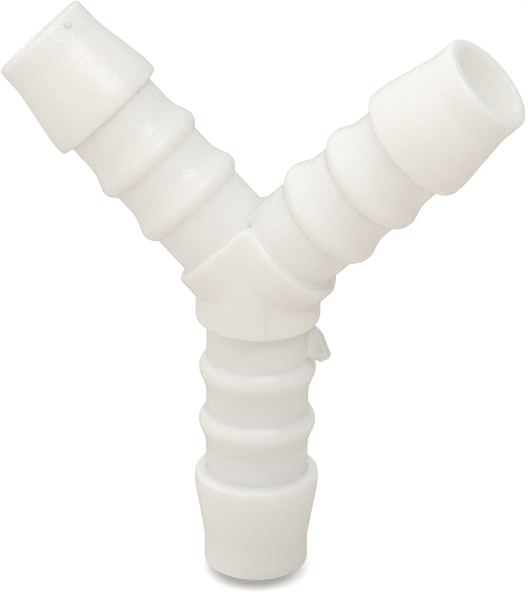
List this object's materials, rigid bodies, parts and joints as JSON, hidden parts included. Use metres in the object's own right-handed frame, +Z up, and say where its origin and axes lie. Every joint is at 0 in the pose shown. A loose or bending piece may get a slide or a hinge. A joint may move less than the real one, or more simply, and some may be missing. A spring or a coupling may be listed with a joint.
{
  "type": "tubing y connector",
  "caption": "Hollow plastic Y connector with three equal ribbed and barbed arms, joining flexible tubes.",
  "frame": {"origin": "centre of the lower arm's end face, which the connector stands on", "axes": "+Z up the lower arm's axis towards the two upper arms; the upper arms lean towards +X and -X; -Y is the front, with the shallow marking pad; +X is the side of the snapped-off gate"},
  "size_m": [0.0586, 0.0141, 0.0652],
  "materials": {
    "natural_plastic": "natural off-white moulded plastic, semi-gloss, slightly translucent"
  },
  "bodies": {
    "root": {"connector_body": "natural_plastic"}
  },
  "joints": []
}
